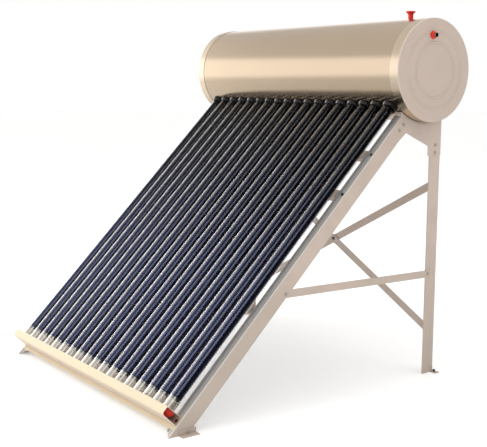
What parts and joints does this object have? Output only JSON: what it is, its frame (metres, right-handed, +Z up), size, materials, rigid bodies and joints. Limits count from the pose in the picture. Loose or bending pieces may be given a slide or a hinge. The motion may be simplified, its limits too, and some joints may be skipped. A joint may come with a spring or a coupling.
{
  "type": "solar water heater",
  "caption": "Thermosiphon solar water heater: horizontal round tank over sloping evacuated glass tubes on a tilted sheet-steel stand with a tail trough and hinged feet.",
  "frame": {"origin": "centre of the heater's footprint on the floor", "axes": "+Z up, +X along the tank towards the outlet end, the tubes run down towards -Y (the sun)"},
  "size_m": [1.636, 1.6624, 1.736],
  "materials": {
    "shell_steel": "brushed, champagne tint",
    "cap_steel": "satin beige",
    "tank_steel": "plain",
    "foam": "rigid foam",
    "silicone": "silicone",
    "black_rubber": "satin black",
    "port_steel": "turned",
    "red_plastic": "gloss red",
    "anode_metal": "cast",
    "clear_glass": "clear",
    "coated_glass": "dark selective coating on glass",
    "spring_steel": "bright",
    "stand_paint": "satin beige coat",
    "zinc": "zinc plated",
    "black_steel": "black oxide"
  },
  "bodies": {
    "frame_and_tank": {"tank_shell": "shell_steel", "end_cap_right": "cap_steel", "end_cap_left": "cap_steel", "inner_tank": "tank_steel", "tank_insulation": "foam", "anode_rod": "anode_metal", "outlet_nipple": "port_steel", "inlet_nipple": "port_steel", "vent_neck": "port_steel", "outlet_ring": "red_plastic", "inlet_ring": "red_plastic", "tail_cups": "red_plastic", "tube_seals": "silicone", "dust_rings": "black_rubber", "saddle_pad_right": "black_rubber", "saddle_pad_left": "black_rubber", "glass_tube_01": "clear_glass", "glass_tube_02": "clear_glass", "glass_tube_03": "clear_glass", "glass_tube_04": "clear_glass", "glass_tube_05": "clear_glass", "glass_tube_06": "clear_glass", "glass_tube_07": "clear_glass", "glass_tube_08": "clear_glass", "glass_tube_09": "clear_glass", "glass_tube_10": "clear_glass", "glass_tube_11": "clear_glass", "glass_tube_12": "clear_glass", "glass_tube_13": "clear_glass", "glass_tube_14": "clear_glass", "glass_tube_15": "clear_glass", "glass_tube_16": "clear_glass", "glass_tube_17": "clear_glass", "glass_tube_18": "clear_glass", "absorber_tubes": "coated_glass", "getter_clips": "spring_steel", "front_leg_right": "stand_paint", "front_leg_left": "stand_paint", "rear_leg_right": "stand_paint", "rear_leg_left": "stand_paint", "cradle_right": "stand_paint", "cradle_left": "stand_paint", "side_strut_right": "stand_paint", "side_strut_left": "stand_paint", "rear_brace_a": "stand_paint", "rear_brace_b": "stand_paint", "crossbar_upper": "stand_paint", "crossbar_lower": "stand_paint", "tail_trough": "stand_paint", "brace_spacer": "zinc", "frame_bolts": "zinc", "frame_nuts": "zinc"},
    "vent_plug": {"vent_plug": "red_plastic"},
    "front_foot_right": {"front_foot_right": "stand_paint"},
    "front_foot_left": {"front_foot_left": "stand_paint"},
    "rear_foot_right": {"rear_foot_right": "stand_paint", "foot_screw_right": "black_steel"},
    "rear_foot_left": {"rear_foot_left": "stand_paint", "foot_screw_left": "black_steel"}
  },
  "joints": [
    {"name": "vent_plug_lift", "type": "slide", "parent": "frame_and_tank", "child": "vent_plug", "axis": [0, 0, 1], "range_m": [0, 0.06]},
    {"name": "front_foot_right_pivot", "type": "hinge", "parent": "frame_and_tank", "child": "front_foot_right", "pos_m": [0.734, -0.71697, 0.012], "axis": [1, 0, 0], "range_deg": [-15, 15]},
    {"name": "rear_foot_right_pivot", "type": "hinge", "parent": "frame_and_tank", "child": "rear_foot_right", "pos_m": [0.716, 0.71903, 0.015], "axis": [0, 1, 0], "range_deg": [-5, 5]},
    {"name": "front_foot_left_pivot", "type": "hinge", "parent": "frame_and_tank", "child": "front_foot_left", "pos_m": [-0.734, -0.71697, 0.012], "axis": [1, 0, 0], "range_deg": [-15, 15]},
    {"name": "rear_foot_left_pivot", "type": "hinge", "parent": "frame_and_tank", "child": "rear_foot_left", "pos_m": [-0.716, 0.71903, 0.015], "axis": [0, 1, 0], "range_deg": [-5, 5]}
  ]
}
